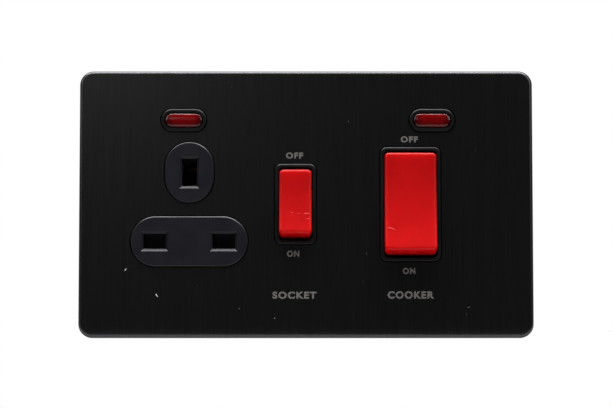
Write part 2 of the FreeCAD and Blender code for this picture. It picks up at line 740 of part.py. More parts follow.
def rocker_profile(length):
    """The rocker's outline from the side: two faces that meet in the middle, and leaning ends."""
    half = "sqrt((%s/2)^2 - rocker_shoulder^2)" % length
    lean = "tan(rocker_draft)"
    edge = "((%s - (face_middle - rocker_shoulder)*%s)/(1 + tan(rocker_tilt)*%s))" % (half, lean, lean)
    edge_height = "face_middle + %s*tan(rocker_tilt)" % edge
    upper = [(edge_height, edge), ("rocker_shoulder", half), ("-rocker_skirt", half)]
    points = [("face_middle", "0")] + upper + [(height, "-" + z) for height, z in reversed(upper)]
    return half, edge, [("-(%s)" % height, z) for height, z in points]


def rocker_body(piece, width, length):
    """The solid rocker: its dish takes up most of the face, and its corners and rim are rounded."""
    half, edge, points = rocker_profile(length)
    piece.pad(SIDE, "-%s/2" % width, width + "/2", (polygon(points), "0", "0"))
    side, middle, face_end = value(width) / 2, value("face_middle"), value(edge)

    def dish(line):
        room = line.BoundBox
        return abs(room.YMin + middle) < TINY and room.YLength < TINY and room.XLength > side

    def corner(line):
        room = line.BoundBox
        return room.XLength < TINY and min(abs(room.ZMin), abs(room.ZMax)) > face_end - TINY

    def rim(line):
        room = line.BoundBox
        upright = room.XLength < TINY and abs(abs(room.XMin) - side) < TINY
        at_end = min(abs(room.ZMin), abs(room.ZMax)) > face_end - value("rocker_corner + rocker_edge")
        return room.YMax < TINY - middle and (upright or at_end)
    piece.fillet(dish, "rocker_dish*%s/tan(rocker_tilt)" % edge)
    piece.fillet(corner, "rocker_corner")
    piece.fillet(rim, "rocker_edge")
    return half


def rocker(label, poles):
    """A rocker with a dished face, trunnions and one hollow stem for each pole."""
    width = label + "_width"
    piece = Piece(label, label + "_x", "rocker_pivot", "0", "-rocker_tilt")
    half = rocker_body(piece, width, label + "_length")
    hollow = rectangle(width + " - 2*rocker_wall", "2*(%s - rocker_wall - rocker_corner)" % half)
    piece.cut(FRONT, "-rocker_skirt", "bore_top", (hollow, "0", "0"))
    bore = "plunger_width + 2*plunger_fit"
    stem = bore + " + 2*stem_wall"
    stems = [(rectangle(stem, stem), x, "0") for x in poles]
    piece.pad(FRONT, "-stem_drop", "bore_top + rocker_crown/2", *stems)
    bores = [(rectangle(bore, bore), x, "0") for x in poles]
    piece.cut(FRONT, "-stem_drop", "bore_top", *bores)
    inner, outer = width + "/2 - rocker_wall", width + "/2 + trunnion_length"
    for start, stop in ((inner, outer), ("-(%s)" % outer, "-(%s)" % inner)):
        piece.pad(SIDE, start, stop, (circle("trunnion_radius"), "0", "0"))


def plunger(label, x):
    """The sprung slider that rides in a rocker's stem and tips the contact arm with its round nose."""
    piece = Piece(label, x, "rocker_pivot", "0", "-rocker_tilt")
    outline = rectangle("plunger_width", "plunger_width")
    piece.pad(FRONT, "-plunger_reach", "plunger_top", (outline, "0", "0"))
    end = at_height("-plunger_reach")
    piece.fillet(lambda edge: end(edge) and edge.BoundBox.ZLength < TINY, "plunger_nose")


def spring(label, turns, length, radius, x, height, z, turn=None):
    """A coil of square wire, wound along Z and then turned about X."""
    count = COIL_SIDES * turns
    sections = []
    for step in range(count + 1):
        wire = doc.addObject("Part::RegularPolygon", "%s_wire%d" % (label, step))
        wire.Polygon = 4
        bind(wire, "Circumradius", "spring_wire/2")
        angle = 360 * step / COIL_SIDES
        across = FreeCAD.Rotation(FreeCAD.Vector(1, 0, 0), 90)
        around = FreeCAD.Rotation(FreeCAD.Vector(0, 0, 1), angle)
        wire.Placement = FreeCAD.Placement(FreeCAD.Vector(), around * across)
        bind(wire, "Placement.Base.x", "%s*cos(%g)" % (radius, angle))
        bind(wire, "Placement.Base.y", "%s*sin(%g)" % (radius, angle))
        bind(wire, "Placement.Base.z", "spring_wire/2 + (%s - spring_wire)*%d/%d" % (length, step, count))
        sections.append(wire)
    coil = doc.addObject("Part::Loft", label)
    coil.Label = label
    coil.Sections = sections
    coil.Solid = True
    coil.Ruled = True
    place(coil, x, height, z, turn)
    pieces.append(coil)


def plunger_spring(label, x):
    spring(label, PLUNGER_COILS, "(bore_top - plunger_top)", "(plunger_width/2 - spring_wire)", x,
           "rocker_pivot + plunger_top*cos(rocker_tilt)", "plunger_top*sin(rocker_tilt)",
           "90 - rocker_tilt")


def contact_arm(label, x):
    """A rocking arm with a groove that sits on its saddle, and its silver tip."""
    arm = Piece(label, x, "arm_axis", "0", "arm_tilt")
    arm.pad(FRONT, "0", "arm_sheet", (rectangle("arm_width", "2*arm_half"), "0", "0"))
    arm.cut(SIDE, "-arm_width/2", "arm_width/2", (circle("saddle_radius + saddle_fit"), "0", "0"))
    tip = Piece(label + "_tip", x, "arm_axis", "0", "arm_tilt")
    tip.pad(FRONT, "-tip_sheet", "0", (rectangle("2*tip_half", "2*tip_half"), "0", "tip_offset"))


def saddle(piece, x, strip):
    """An upright tab on a strip, with a round top that carries a contact arm."""
    width = "strip_width - strip_gap"
    tab = strip_at(x, width, "-saddle_radius", "saddle_radius")
    piece.pad(FRONT, strip, "arm_axis - saddle_radius", tab)
    low, high = "%s - (%s)/2" % (x, width), "%s + (%s)/2" % (x, width)
    piece.pad(SIDE, low, high, (circle("saddle_radius"), "saddle_radius - arm_axis", "0"))


def terminal(label, x, side):
    """A clamp block with a blind bore and a screw hole."""
    piece = Piece(label)
    middle = "%d*(block_inner + block_length/2)" % side
    piece.pad(FRONT, "block_back", "-shelf_depth", (rectangle("block_width", "block_length"), x, middle))
    outer = "block_inner + block_length"
    ends = ("%d*(%s)" % (side, outer), "%d*(%s - bore_depth)" % (side, outer))
    piece.cut(TOP, *sorted(ends, key=value), (circle("bore_radius"), x, "-bore_axis"))
    clamp = "%d*(block_inner + block_length - clamp_inset)" % side
    piece.cut(FRONT, "block_back", "bore_axis", (circle("clamp_radius"), x, clamp))
    return piece


def supply_terminal(label, block_x, pole_x, top):
    piece = terminal(label, block_x, -1)
    strip = strip_at(pole_x, "strip_width", "-block_inner", top)
    piece.pad(FRONT, "supply_strip - strip_sheet", "supply_strip", strip)
    saddle(piece, pole_x, "supply_strip")


def load_terminal(label, block_x, pole_x):
    piece = terminal(label, block_x, 1)
    strip = strip_at(pole_x, "strip_width", "tip_offset - tip_half", "block_inner")
    piece.pad(FRONT, "load_strip - strip_sheet", "load_strip", strip)


def earth_terminal():
    piece = terminal("earth_terminal", "socket_x", 1)
    strip = strip_at("socket_x", "strip_width", "earth_pin_z - strip_width/2", "block_inner")
    piece.pad(FRONT, "live_link_front - strip_sheet", "live_link_front", strip)


def fixed_tips():
    """The tips that the contact arms close on."""
    piece = Piece("fixed_tips")
    poles = ("live_pole_x", "neutral_pole_x", "socket_rocker_x")
    tip = rectangle("2*tip_half", "2*tip_half")
    piece.pad(FRONT, "load_strip", "fixed_tip_front", *[(tip, x, "tip_offset") for x in poles])


def live_link():
    """Feeds the socket's switch from the supply: a flat strip with a post under the fixed tip."""
    piece = Piece("live_link")
    left, right = "socket_rocker_x - strip_width/2", "socket_rocker_x + strip_width/2"
    corners = [
        (left, "link_low"), ("live_pole_x + strip_width/2", "link_low"),
        ("live_pole_x + strip_width/2", "link_high"), (right, "link_high"),
        (right, "tip_offset + tip_half"), (left, "tip_offset + tip_half"),
    ]
    piece.pad(FRONT, "live_link_front - strip_sheet", "live_link_front", (polygon(corners), "0", "0"))
    post = (rectangle("2*tip_half", "2*tip_half"), "socket_rocker_x", "tip_offset")
    piece.pad(FRONT, "live_link_front", "load_strip", post)


def neutral_link():
    """Joins the neutral pin contact to the neutral supply strip."""
    piece = Piece("neutral_link")
    right = "neutral_pole_x + strip_width/2"
    low, high = "live_pin_z - link_width/2", "live_pin_z + link_width/2"
    strip = block("neutral_pin_x - live_leaf_width/2", right, low, high)
    piece.pad(FRONT, "neutral_link_front - strip_sheet", "neutral_link_front", strip)
    post = block("neutral_pole_x - strip_width/2", right, high + " - strip_sheet", high)
    piece.pad(FRONT, "neutral_link_front", "supply_strip - strip_sheet", post)


def clip_outline(lip, back):
    """Half-width and height along a spring clip: flared lips, a narrow grip and a flat web."""
    wide, narrow = "leaf_flare/2", "leaf_grip/2"
    grip = "%s - leaf_lip" % lip
    inner = [(wide, "%s + leaf_sheet" % back), (narrow, grip), (wide, lip)]
    spots = [(wide, lip), (narrow, grip), (wide, back)]
    right = inner + [(across + " + leaf_sheet", height) for across, height in spots]
    return right + [("-(%s)" % across, height) for across, height in reversed(right)]


def live_clip(label, x, back):
    piece = Piece(label)
    points = clip_outline("live_chamber_front - chamber_gap", back)
    outline = polygon([("-(%s)" % height, across) for across, height in points])
    piece.pad(SIDE, x + " - live_leaf_width/2", x + " + live_leaf_width/2", (outline, "0", "live_pin_z"))
    return piece


def live_socket_contact():
    """The live pin's clip, with a strip that ends in the socket switch's saddle."""
    piece = live_clip("live_socket_contact", "live_pin_x", "socket_strip - strip_sheet")
    left, right = "socket_rocker_x - strip_width/2", "socket_rocker_x + strip_width/2"
    low, high = "live_pin_z - link_width/2", "live_pin_z + link_width/2"
    corners = [
        ("live_pin_x", low), (right, low), (right, "supply_bed_end"),
        (left, "supply_bed_end"), (left, high), ("live_pin_x", high),
    ]
    piece.pad(FRONT, "socket_strip - strip_sheet", "socket_strip", (polygon(corners), "0", "0"))
    saddle(piece, "socket_rocker_x", "socket_strip")


def earth_socket_contact():
    piece = Piece("earth_socket_contact")
    points = clip_outline("earth_chamber_front - chamber_gap", "live_link_front")
    outline = polygon([(across, "-(%s)" % height) for across, height in points])
    low, high = "earth_pin_z - earth_leaf_width/2", "earth_pin_z + earth_leaf_width/2"
    piece.pad(TOP, low, high, (outline, "socket_x", "0"))


def shutter():
    """A bar across the live and neutral slots, with a ramp that the earth pin pushes down."""
    piece = Piece("shutter", "socket_x")
    bar = strip_at("0", "2*shutter_reach", "live_pin_z - bar_height/2", "live_pin_z + bar_height/2")
    piece.pad(FRONT, "shutter_back", "shutter_front", bar)
    top = "earth_pin_z - earth_slot_length/2"
    end = "-(shutter_front - ramp_rise)"
    arm = [
        ("-shutter_front", "live_pin_z"), ("-shutter_front", top),
        (end, top + " + ramp_rise"), (end, top + " + ramp_rise - ramp_sheet"),
        ("-shutter_back", top + " + shutter_sheet - ramp_sheet"), ("-shutter_back", "live_pin_z"),
    ]
    piece.pad(SIDE, "-shutter_arm/2", "shutter_arm/2", (polygon(arm), "0", "0"))


def shutter_spring():
    spring("shutter_spring", SHUTTER_COILS, "shutter_spring_length", "shutter_spring_radius",
           "socket_x", "(shutter_front + shutter_back)/2", "spring_seat")


def neon_lens(label, x):
    """A window with a rounded front, a flange behind the panel and two prongs for the lamp."""
    piece = Piece(label, x, "0", "neon_z")
    front = "insert_front - lens_sink"
    piece.pad(FRONT, "panel_back", front, (stadium("lens_length", "lens_height"), "0", "0"))
    piece.chamfer(at_height(front), "lens_edge")
    tall = "lens_height + 2*lens_flange"
    flange = rectangle("lens_length + 2*lens_flange", tall)
    piece.pad(FRONT, "flange_back", "panel_back", (flange, "0", "0"))
    prongs = [(rectangle("prong_sheet", tall), "%d*prong_space/2" % side, "0") for side in BOTH]
    piece.pad(FRONT, "lamp_axis - prong_drop", "flange_back", *prongs)
    wide = "(prong_space + prong_sheet)/2"
    notch = block("-(lamp_axis + lamp_radius)", "prong_drop - lamp_axis", "-lamp_radius", "lamp_radius")
    piece.cut(SIDE, "-" + wide, wide, notch)


def neon_lamp(label, x):
    """A glass tube, lying along X."""
    piece = Piece(label, x, "lamp_axis", "neon_z")
    piece.pad(SIDE, "-lamp_length/2", "lamp_length/2", (circle("lamp_radius"), "0", "0"))


def check():
    """Stops the build if a feature failed or a cut removed nothing."""
    for item in doc.Objects:
        if set(item.State) & {"Invalid", "Error"}:
            raise RuntimeError("%s: %s" % (item.Label, item.State))
        if item.TypeId == "PartDesign::Pocket":
            before = item.BaseFeature.Shape.Volume
            if before - item.Shape.Volume < TINY:
                raise RuntimeError("%s in %s cuts nothing" % (item.Label, item.getParent().Label))
    for piece in pieces:
        if piece.Shape.isNull() or not piece.Shape.isValid() or not piece.Shape.Solids:
            raise RuntimeError("%s has no valid solid" % piece.Label)


pieces = []
face_plate()
front_moulding()
socket_insert()
rear_base()
rocker("socket_rocker", ["0"])
rocker("cooker_rocker", ["-pole_pitch/2", "pole_pitch/2"])
for pole, pole_x in (
    ("cooker_live", "live_pole_x"),
    ("cooker_neutral", "neutral_pole_x"),
    ("socket_live", "socket_rocker_x"),
):
    plunger(pole + "_plunger", pole_x)
    plunger_spring(pole + "_spring", pole_x)
    contact_arm(pole + "_arm", pole_x)
fixed_tips()
supply_terminal("supply_live_terminal", "live_block_x", "live_pole_x", "link_high")
supply_terminal("supply_neutral_terminal", "neutral_block_x", "neutral_pole_x", "supply_bed_end")
load_terminal("cooker_live_terminal", "live_block_x", "live_pole_x")
load_terminal("cooker_neutral_terminal", "neutral_block_x", "neutral_pole_x")
earth_terminal()
live_link()
neutral_link()
live_socket_contact()
live_clip("neutral_socket_contact", "neutral_pin_x", "neutral_link_front")
earth_socket_contact()
shutter()
shutter_spring()
for neon in ("socket_neon", "cooker_neon"):
    neon_lens(neon + "_lens", neon + "_x")
    neon_lamp(neon + "_lamp", neon + "_x")
doc.recompute()
check()

os.makedirs("parts", exist_ok=True)
for piece in pieces:
    piece.Shape.exportStep("parts/%s.step" % piece.Label)
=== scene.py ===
import json
import math

import bmesh
import bpy
from mathutils import Matrix, Vector
from mathutils.bvhtree import BVHTree

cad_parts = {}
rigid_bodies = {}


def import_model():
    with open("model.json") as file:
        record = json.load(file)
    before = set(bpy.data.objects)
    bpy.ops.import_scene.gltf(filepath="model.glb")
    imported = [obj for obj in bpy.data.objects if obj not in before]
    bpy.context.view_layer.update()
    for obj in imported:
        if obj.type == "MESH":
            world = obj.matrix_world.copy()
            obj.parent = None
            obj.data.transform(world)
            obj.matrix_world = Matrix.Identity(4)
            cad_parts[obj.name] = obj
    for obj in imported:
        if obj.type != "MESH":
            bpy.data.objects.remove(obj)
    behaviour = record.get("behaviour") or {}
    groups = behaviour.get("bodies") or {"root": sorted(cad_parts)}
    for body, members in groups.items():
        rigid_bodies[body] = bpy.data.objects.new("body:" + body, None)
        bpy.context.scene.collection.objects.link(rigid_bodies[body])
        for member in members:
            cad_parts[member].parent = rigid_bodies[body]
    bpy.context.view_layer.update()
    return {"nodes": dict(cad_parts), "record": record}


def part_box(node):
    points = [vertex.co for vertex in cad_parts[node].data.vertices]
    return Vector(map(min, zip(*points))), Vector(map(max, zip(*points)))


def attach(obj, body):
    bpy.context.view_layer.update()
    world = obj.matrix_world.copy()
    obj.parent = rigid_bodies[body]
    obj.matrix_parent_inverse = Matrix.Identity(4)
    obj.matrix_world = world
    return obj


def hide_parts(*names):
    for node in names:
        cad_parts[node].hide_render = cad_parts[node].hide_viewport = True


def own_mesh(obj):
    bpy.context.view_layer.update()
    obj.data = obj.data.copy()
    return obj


# Looks of a cooker control unit: black brushed plate, dark inserts, red rockers, printed legends.
# Frame: metres, X to the right, Z up, the front faces -Y.

MM = 0.001

# The photograph's width and the plate's width and middle in it, in pixels, and where it was taken from
IMAGE_WIDTH = 612
PLATE_PIXELS = 454.5
PLATE_MIDDLE_PIXEL = (305.95, 204.2)
VIEW_DISTANCE = 600 * MM
VIEW_ELEVATION = math.radians(-3.7)
SENSOR = 36.0

# Printed legends: piece, word, pixel of its middle, and the word's width and height in mm
LEGENDS = (
    ("socket_off", "OFF", (294.5, 155.6), 5.5, 2.0),
    ("socket_on", "ON", (293.1, 253.9), 4.0, 2.0),
    ("cooker_off", "OFF", (409.5, 139.3), 5.5, 2.0),
    ("cooker_on", "ON", (408.8, 271.2), 4.0, 2.0),
    ("socket_name", "SOCKET", (294.4, 295.3), 14.05, 2.3),
    ("cooker_name", "COOKER", (410.4, 295.05), 14.8, 2.4),
)
LEGEND_BOLD = 0.045
LEGEND_SPACING = 1.2
LEGEND_INK = 0.012 * MM

# Clamp screws of the terminals, in mm, with the thread's root and crest as shares of its pitch
TERMINALS = ("supply_live", "supply_neutral", "cooker_live", "cooker_neutral", "earth")
CLAMP_INSET = 5.0
CLAMP_STAND = 2.4
CLAMP_LENGTH = 5.0
CLAMP_RADIUS = 1.95
CLAMP_ROOT = 1.70
CLAMP_CHAMFER = 0.3
CLAMP_PITCH = 0.7
THREAD_ROOT = 0.25
THREAD_CREST = 0.75
CLAMP_SLOT = (5.0, 1.8, 0.8)

# Pan-head screws of the base, in mm: X and Z, pairs of radius and height, and the cut for a driver
BASE_SCREWS = ((-16.0, 27.0), (16.0, -27.0))
PAN_HEAD = ((2.80, 0.0), (2.80, 0.8), (2.55, 1.4), (2.00, 1.8), (1.10, 2.0))
CROSS_RECESS = (3.2, 2.0, 0.75)

# Sides of a turned piece, and the angle from which its edges are drawn sharp
TURNED_SIDES = 28
SHARP_EDGE = math.radians(30)

# Coil springs: node, the joint that presses it, the body that carries it, and its open turns
SPRINGS = (
    ("shutter_spring", "shutter_slide", "unit", 4),
    ("socket_live_spring", "socket_live_plunger_slide", "socket_rocker_body", 3),
    ("cooker_live_spring", "cooker_live_plunger_slide", "cooker_rocker_body", 3),
    ("cooker_neutral_spring", "cooker_neutral_plunger_slide", "cooker_rocker_body", 3),
)
SPRING_WIRE = 0.5 * MM
SPRING_PLAY = 0.02 * MM
CLOSED_TURNS = 1
CLOSED_RISE = 1.05 * SPRING_WIRE
COIL_STEPS = 24
WIRE_SIDES = 10

# The pillow-shaped front of a neon lens, in mm: its outline, and pairs of inset and rise above the lens
NEONS = ("socket_neon", "cooker_neon")
LENS_LENGTH = 12.4
LENS_HEIGHT = 4.8
CAP_PROFILE = (
    (0.05, -0.85), (0.05, -0.40), (0.15, -0.10), (0.40, 0.14), (0.80, 0.32), (1.40, 0.45), (2.10, 0.50),
)
CAP_SIDES = 48

# Dust on the plate and scuffs on the rockers: the pixels along each mark, and its width in mm
DUST = (
    (((124.8, 271.2), (126.9, 268.5)), 0.26),
    (((156.2, 294.3), (158.1, 296.9)), 0.36),
    (((348.3, 120.4), (348.9, 122.2)), 0.08),
    (((274.8, 317.4), (274.9, 319.0)), 0.10),
    (((474.9, 149.4), (475.8, 152.0)), 0.02),
    (((467.4, 308.8), (468.8, 306.6)), 0.05),
    (((197.2, 286.2), (198.6, 285.0)), 0.04),
    (((363.0, 280.6), (363.2, 282.9)), 0.015),
    (((366.4, 252.8), (366.6, 255.6)), 0.015),
    (((230.5, 86.6), (231.4, 87.6)), 0.03),
    (((239.0, 308.3), (239.6, 309.4)), 0.04),
    (((465.1, 313.2), (466.0, 314.2)), 0.03),
)
SOCKET_SCUFFS = (
    (((303.6, 214.0), (306.5, 213.8), (310.2, 213.6)), 0.48),
    (((306.0, 219.3), (308.3, 218.9), (310.4, 218.8)), 0.42),
    (((290.3, 212.7), (291.8, 212.9), (293.4, 212.8)), 0.30),
    (((297.0, 213.6), (298.5, 213.8), (300.4, 213.7)), 0.22),
)
COOKER_SCUFFS = (
    (((386.0, 228.6), (389.2, 228.0), (395.7, 230.3)), 0.50),
)
MARK_STEPS = 6

# Height of a mark's ridge, as a share of the mark's width
MARK_RISE = 0.12

# Moulded plastics: dark and light shade, roughness, shine, and size of the grain in mm
PLASTICS = {
    "carrier_plastic": ((0.0028, 0.0028, 0.0034), (0.0038, 0.0038, 0.0046), 0.45, 0.25, 0.25),
    "insert_plastic": ((0.0048, 0.0050, 0.0092), (0.0066, 0.0068, 0.0115), 0.42, 0.43, 0.25),
    "base_plastic": ((0.030, 0.030, 0.033), (0.042, 0.042, 0.045), 0.55, 0.5, 0.4),
    "shutter_plastic": ((0.004, 0.004, 0.0045), (0.006, 0.006, 0.0065), 0.6, 0.5, 0.25),
    "plunger_plastic": ((0.58, 0.56, 0.50), (0.66, 0.64, 0.58), 0.45, 0.5, 0.25),
}
PLASTIC_ROUGHNESS_SPREAD = 0.04

# Bare metals: dull and bright shade, roughness, and size of the marks along X, Y and Z in mm
ROLLED_MARKS = (0.4, 0.4, 6.0)
TURNED_MARKS = (0.3, 0.3, 0.3)
METALS = {
    "brass": ((0.62, 0.42, 0.16), (0.78, 0.57, 0.26), 0.30, ROLLED_MARKS),
    "contact_silver": ((0.70, 0.69, 0.66), (0.86, 0.85, 0.82), 0.24, TURNED_MARKS),
    "screw_steel": ((0.46, 0.45, 0.42), (0.62, 0.61, 0.57), 0.30, TURNED_MARKS),
    "spring_steel": ((0.42, 0.42, 0.42), (0.56, 0.56, 0.55), 0.28, TURNED_MARKS),
}
METAL_ROUGHNESS_SPREAD = 0.07

# Red lenses: clearness, refraction, and how far out, in mm, the shade painted on a front begins and is
# darkest
LENS_CLEARNESS = 0.55
LENS_REFRACTION = 1.49
LENS_PAINTED_SHADE = (3.0, 6.0)

# The socket's faces are a shade bluer than the rest of the moulding
FINISH_OF_NODE = {"socket_insert": "insert_plastic"}

# Lamps: place and size in metres, and power in watts
LAMPS = (
    ("overhead_light", (0, -0.14, 0.80), (1.2, 0.4), 22),
    ("left_light", (-0.66, -0.45, 0.36), (0.5, 0.5), 1.5),
    ("right_light", (0.66, -0.45, 0.36), (0.5, 0.5), 1.6),
    ("left_card", (-0.15, -0.60, 0.19), (0.12, 0.12), 0.055),
    ("bounce_light", (0, -0.40, -0.60), (1.4, 0.9), 3.0),
)
ROOM_LIGHT = 0.015

# The floor: its reach, its gap below the plate, its own glow, and that glow's share in what the eye sees
FLOOR_FRONT = 14 * MM
FLOOR_BACK = 800 * MM
FLOOR_GAP = 0.2 * MM
FLOOR_GLOW = 1.05
FLOOR_GLOW_SHARE = 0.85

for leftover in list(bpy.data.objects):
    bpy.data.objects.remove(leftover)
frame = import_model()
nodes = frame["nodes"]
plate_low, plate_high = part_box("face_plate")
pixel_size = (plate_high.x - plate_low.x) / PLATE_PIXELS
view_target = Vector((0, plate_low.y, 0))
view_back = Vector((0, -math.cos(VIEW_ELEVATION), math.sin(VIEW_ELEVATION)))
view_eye = view_target + VIEW_DISTANCE * view_back


def on_plate(pixel):
    """The place on the plate's front that a pixel of the photograph shows."""
    across = (pixel[0] - PLATE_MIDDLE_PIXEL[0]) * pixel_size
    up = (PLATE_MIDDLE_PIXEL[1] - pixel[1]) * pixel_size
    return Vector((across, plate_low.y, up))


class Finish:
    """A material made of nodes. Keywords set its shader's sockets, with _ for each space."""

    def __init__(self, name, **sockets):
        self.material = bpy.data.materials.new(name)
        self.material.use_nodes = True
        self.nodes = self.material.node_tree.nodes
        self.links = self.material.node_tree.links
        self.shader = self.nodes["Principled BSDF"]
        for socket, setting in sockets.items():
            self.shader.inputs[socket.replace("_", " ")].default_value = setting
        self.place = self.nodes.new("ShaderNodeTexCoord").outputs["Object"]

    def noise(self, *grain, detail=3.0):
        """Noise with grains of the given sizes along X, Y and Z, in mm."""
        spread = self.nodes.new("ShaderNodeMapping")
        spread.inputs["Scale"].default_value = [1 / (size * MM) for size in grain]
        self.links.new(self.place, spread.inputs["Vector"])
        pattern = self.nodes.new("ShaderNodeTexNoise")
        pattern.inputs["Scale"].default_value = 1.0
        pattern.inputs["Detail"].default_value = detail
        self.links.new(spread.outputs["Vector"], pattern.inputs["Vector"])
        return pattern.outputs["Fac"]

    def level(self, pattern, low, high, start=0.3, stop=0.7):
        """Stretches a pattern that runs from start to stop, to run from low to high."""
        stretch = self.nodes.new("ShaderNodeMapRange")
        settings = {"From Min": start, "From Max": stop, "To Min": low, "To Max": high}
        for socket, setting in settings.items():
            stretch.inputs[socket].default_value = setting
        self.links.new(pattern, stretch.inputs["Value"])
        return stretch.outputs["Result"]

    def drive(self, socket, output):
        """Lets a node's output set one of the shader's sockets."""
        self.links.new(output, self.shader.inputs[socket])

    def blend(self, share, first, second):
        """Colours the material from one shade to another as the share goes from 0 to 1."""
        mix = self.nodes.new("ShaderNodeMix")
        mix.data_type = "RGBA"
        mix.inputs["A"].default_value = (*first, 1)
        mix.inputs["B"].default_value = (*second, 1)
        self.links.new(share, mix.inputs["Factor"])
        self.drive("Base Color", mix.outputs["Result"])

    def tint(self, pattern, first, second):
        """Colours the material from one shade to another with a noise pattern."""
        self.blend(self.level(pattern, 0, 1), first, second)

    def roughen(self, pattern, low, high):
        """Makes the material smoother and rougher with a noise pattern."""
        self.drive("Roughness", self.level(pattern, low, high))

    def bump(self, pattern, height, strength):
        """Gives the surface a relief, its height in mm."""
        relief = self.nodes.new("ShaderNodeBump")
        relief.inputs["Strength"].default_value = strength
        relief.inputs["Distance"].default_value = height * MM
        self.links.new(pattern, relief.inputs["Height"])
        self.drive("Normal", relief.outputs["Normal"])


def brushed_plate():
    """Black coat over metal that was brushed up and down."""
    finish = Finish("brushed_plate", Metallic=1.0)
    fine = finish.noise(0.5, 0.5, 30, detail=4.0)
    broad = finish.noise(3, 3, 120, detail=2.0)
    finish.tint(fine, (0.054, 0.055, 0.057), (0.068, 0.069, 0.071))
    finish.roughen(broad, 0.31, 0.32)
    finish.bump(fine, height=0.02, strength=0.8)
    return finish.material


def moulded_plastic(name, dark, light, roughness, shine, grain):
    """Satin plastic with a fine spark-eroded grain."""
    finish = Finish(name, Specular_IOR_Level=shine)
    cloud = finish.noise(6, 6, 6)
    speckle = finish.noise(grain, grain, grain, detail=2.0)
    finish.tint(cloud, dark, light)
    finish.roughen(cloud, roughness - PLASTIC_ROUGHNESS_SPREAD, roughness + PLASTIC_ROUGHNESS_SPREAD)
    finish.bump(speckle, height=0.006, strength=0.6)
    return finish.material


def red_rocker():
    """Glossy red plastic with faint handling marks."""
    finish = Finish("red_rocker", Specular_IOR_Level=0.22, Subsurface_Weight=1.0,
                    Subsurface_Scale=10 * MM, Subsurface_Radius=(1.0, 0.3, 0.3))
    cloud = finish.noise(5, 5, 8)
    rub = finish.noise(0.8, 0.8, 2.2, detail=5.0)
    finish.tint(cloud, (0.56, 0.002, 0.003), (0.62, 0.003, 0.004))
    finish.roughen(rub, 0.33, 0.41)
    finish.bump(rub, height=0.002, strength=0.15)
    return finish.material


def red_lens():
    """Clear red plastic."""
    finish = Finish("red_lens", Transmission_Weight=LENS_CLEARNESS, IOR=LENS_REFRACTION)
    cloud = finish.noise(2, 2, 2)
    finish.tint(cloud, (0.26, 0.002, 0.004), (0.34, 0.004, 0.006))
    finish.roughen(cloud, 0.10, 0.18)
    return finish.material


def lens_front():
    """Clear red plastic over a hollow, with shade painted into its colour towards both ends."""
    finish = Finish("lens_front", Transmission_Weight=LENS_CLEARNESS, IOR=LENS_REFRACTION)
    split = finish.nodes.new("ShaderNodeSeparateXYZ")
    finish.links.new(finish.place, split.inputs["Vector"])
    along = finish.nodes.new("ShaderNodeMath")
    along.operation = "ABSOLUTE"
    finish.links.new(split.outputs["X"], along.inputs[0])
    start, stop = (reach * MM for reach in LENS_PAINTED_SHADE)
    # Painted shade: the colour runs from clear red in the middle to nearly black at both ends
    painted_end_shade = finish.level(along.outputs["Value"], 0, 1, start, stop)
    finish.blend(painted_end_shade, (0.31, 0.003, 0.005), (0.035, 0.003, 0.006))
    finish.roughen(finish.noise(2, 2, 2), 0.10, 0.18)
    return finish.material


def bare_metal(name, dull, bright, roughness, mark_size):
    """Metal with rolled or turned marks and slight tarnish."""
    finish = Finish(name, Metallic=1.0)
    tarnish = finish.noise(3, 3, 3, detail=4.0)
    lines = finish.noise(*mark_size)
    finish.tint(tarnish, dull, bright)
    finish.roughen(lines, roughness - METAL_ROUGHNESS_SPREAD, roughness + METAL_ROUGHNESS_SPREAD)
    finish.bump(lines, height=0.004, strength=0.5)
    return finish.material


def lamp_glass():
    """Thin clear glass, faintly smoked by use."""
    finish = Finish("lamp_glass", Transmission_Weight=0.9, IOR=1.5)
    smoke = finish.noise(2, 4, 4)
    finish.tint(smoke, (0.80, 0.74, 0.66), (0.92, 0.90, 0.87))
    finish.roughen(smoke, 0.03, 0.09)
    return finish.material


def legend_ink():
    """Screen-printed grey ink, slightly uneven."""
    finish = Finish("legend_ink", Specular_IOR_Level=0.3)
    cover = finish.noise(0.3, 0.3, 0.3)
    finish.tint(cover, (0.135, 0.131, 0.120), (0.175, 0.170, 0.156))
    finish.roughen(cover, 0.5, 0.65)
    return finish.material


def scuffed_red():
    """Red plastic that was scraped pale."""
    finish = Finish("scuffed_red", Specular_IOR_Level=0.2)
    cloud = finish.noise(0.4, 0.4, 0.4)
    finish.tint(cloud, (0.62, 0.018, 0.018), (0.72, 0.040, 0.040))
    finish.roughen(cloud, 0.5, 0.7)
    return finish.material


def dust():
    """Pale lint and dust."""
    finish = Finish("dust", Specular_IOR_Level=0.1)
    cloud = finish.noise(0.3, 0.3, 0.3)
    finish.tint(cloud, (0.50, 0.50, 0.48), (0.72, 0.72, 0.70))
    finish.roughen(cloud, 0.8, 0.95)
    return finish.material


def finishes():
    """The materials of the record's slots, the socket's faces, the legends and the screws."""
    made = {"plate_metal": brushed_plate()}
    for name, settings in PLASTICS.items():
        made[name] = moulded_plastic(name, *settings)
    made["legend_ink"] = legend_ink()
    made["rocker_red"] = red_rocker()
    made["lens_red"] = red_lens()
    made["lamp_glass"] = lamp_glass()
    for name, settings in METALS.items():
        made[name] = bare_metal(name, *settings)
    return made


def paint(mesh, finish):
    """Gives a mesh one material."""
    mesh.materials.clear()
    mesh.materials.append(finish)


def dress_nodes(finish_of):
    """Gives each CAD piece the finish of its slot."""
    for subpart in frame["record"]["subparts"]:
        node = subpart["node"]
        paint(nodes[node].data, finish_of[FINISH_OF_NODE.get(node, subpart["material_slot"])])


def add_object(name, data):
    """Puts a mesh, a text, a lamp or a camera into the scene."""
    piece = bpy.data.objects.new(name, data)
    bpy.context.scene.collection.objects.link(piece)
    return piece


def add_shape(name, shape):
    """Puts a built shape into the scene."""
    mesh = bpy.data.meshes.new(name)
    shape.to_mesh(mesh)
    shape.free()
    return add_object(name, mesh)


